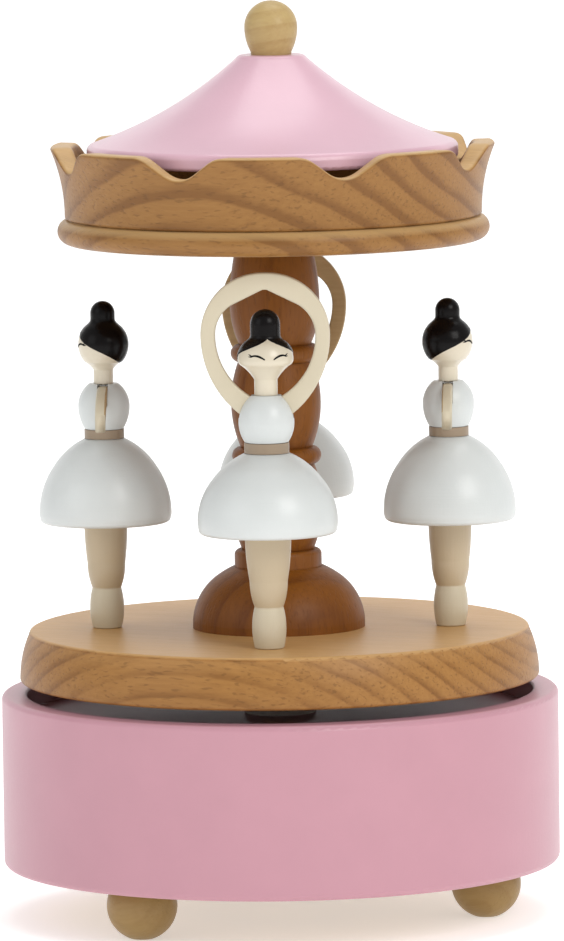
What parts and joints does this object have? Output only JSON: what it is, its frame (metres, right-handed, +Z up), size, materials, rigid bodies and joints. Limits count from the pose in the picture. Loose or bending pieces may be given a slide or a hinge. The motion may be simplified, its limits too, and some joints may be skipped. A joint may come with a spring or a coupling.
{
  "type": "carousel music box",
  "caption": "Wooden wind-up music box: a drum base whose comb movement turns a round table of dancer figures under a scalloped canopy.",
  "frame": {"origin": "on the ground under the centre of the drum, at the level of the feet's flats", "axes": "+Z up along the winding arbor; -Y is the front, where one dancer with raised arms stands; +X to the right seen from the front"},
  "size_m": [0.11, 0.11, 0.1807],
  "materials": {
    "pink_paint": "satin paint on wood",
    "plywood": "sanded plywood",
    "natural_wood": "satin varnish",
    "beech": "satin varnish",
    "stained_wood": "brown stain and satin varnish",
    "cream_paint": "satin paint on wood",
    "white_paint": "gloss paint on wood",
    "sash_tan": "satin paint on wood",
    "brass": "polished",
    "steel": "zinc plated",
    "comb_steel": "hardened and ground",
    "zinc": "die-cast zinc",
    "nylon": "moulded"
  },
  "bodies": {
    "base": {"base_drum": "pink_paint", "bottom_cover": "plywood", "cover_screws": "steel", "foot_front_left": "natural_wood", "foot_right": "natural_wood", "foot_back_left": "natural_wood", "thrust_washer": "nylon", "bedplate": "zinc", "comb": "comb_steel", "comb_screws": "steel", "governor_frame": "brass", "spring_housing": "zinc", "mainspring": "comb_steel", "movement_screws": "steel"},
    "carousel": {"turntable": "beech", "threaded_hub": "brass", "hub_screws": "steel", "column_dome": "stained_wood", "column": "stained_wood", "canopy_crown": "beech", "canopy_roof": "pink_paint", "finial_knob": "natural_wood", "winding_arbor": "steel", "great_wheel": "brass", "front_dancer_legs": "cream_paint", "front_dancer_skirt": "white_paint", "front_dancer_torso": "white_paint", "front_dancer_sash": "sash_tan", "front_dancer_head": "cream_paint", "front_dancer_arms": "cream_paint", "right_dancer_legs": "cream_paint", "right_dancer_skirt": "white_paint", "right_dancer_torso": "white_paint", "right_dancer_sash": "sash_tan", "right_dancer_head": "cream_paint", "right_dancer_arms": "cream_paint", "back_dancer_legs": "cream_paint", "back_dancer_skirt": "white_paint", "back_dancer_torso": "white_paint", "back_dancer_sash": "sash_tan", "back_dancer_head": "cream_paint", "back_dancer_arms": "cream_paint", "left_dancer_legs": "cream_paint", "left_dancer_skirt": "white_paint", "left_dancer_torso": "white_paint", "left_dancer_sash": "sash_tan", "left_dancer_head": "cream_paint", "left_dancer_arms": "cream_paint"},
    "cylinder": {"pinned_cylinder": "brass", "cylinder_axle": "steel", "cylinder_pinion": "brass", "cylinder_gear": "brass"},
    "governor_wheel": {"governor_arbor": "steel", "worm_wheel": "nylon"},
    "air_brake": {"worm_shaft": "steel", "air_brake_fan": "nylon"}
  },
  "joints": [
    {"name": "turntable_spin", "type": "hinge", "parent": "base", "child": "carousel", "pos_m": [0, 0, 0.047], "axis": [0, 0, 1], "continuous": true},
    {"name": "cylinder_spin", "type": "hinge", "parent": "base", "child": "cylinder", "pos_m": [0, 0, 0.0254], "axis": [1, 0, 0], "continuous": true},
    {"name": "governor_wheel_spin", "type": "hinge", "parent": "base", "child": "governor_wheel", "pos_m": [0.0367, 0.0072, 0.0254], "axis": [1, 0, 0], "continuous": true},
    {"name": "air_brake_spin", "type": "hinge", "parent": "base", "child": "air_brake", "pos_m": [0.0367, 0.01222, 0.0254], "axis": [0, 0, 1], "continuous": true}
  ],
  "couplings": [
    {"joint": "cylinder_spin", "follows": "turntable_spin", "ratio": 3},
    {"joint": "governor_wheel_spin", "follows": "turntable_spin", "ratio": -15},
    {"joint": "air_brake_spin", "follows": "turntable_spin", "ratio": 360}
  ]
}
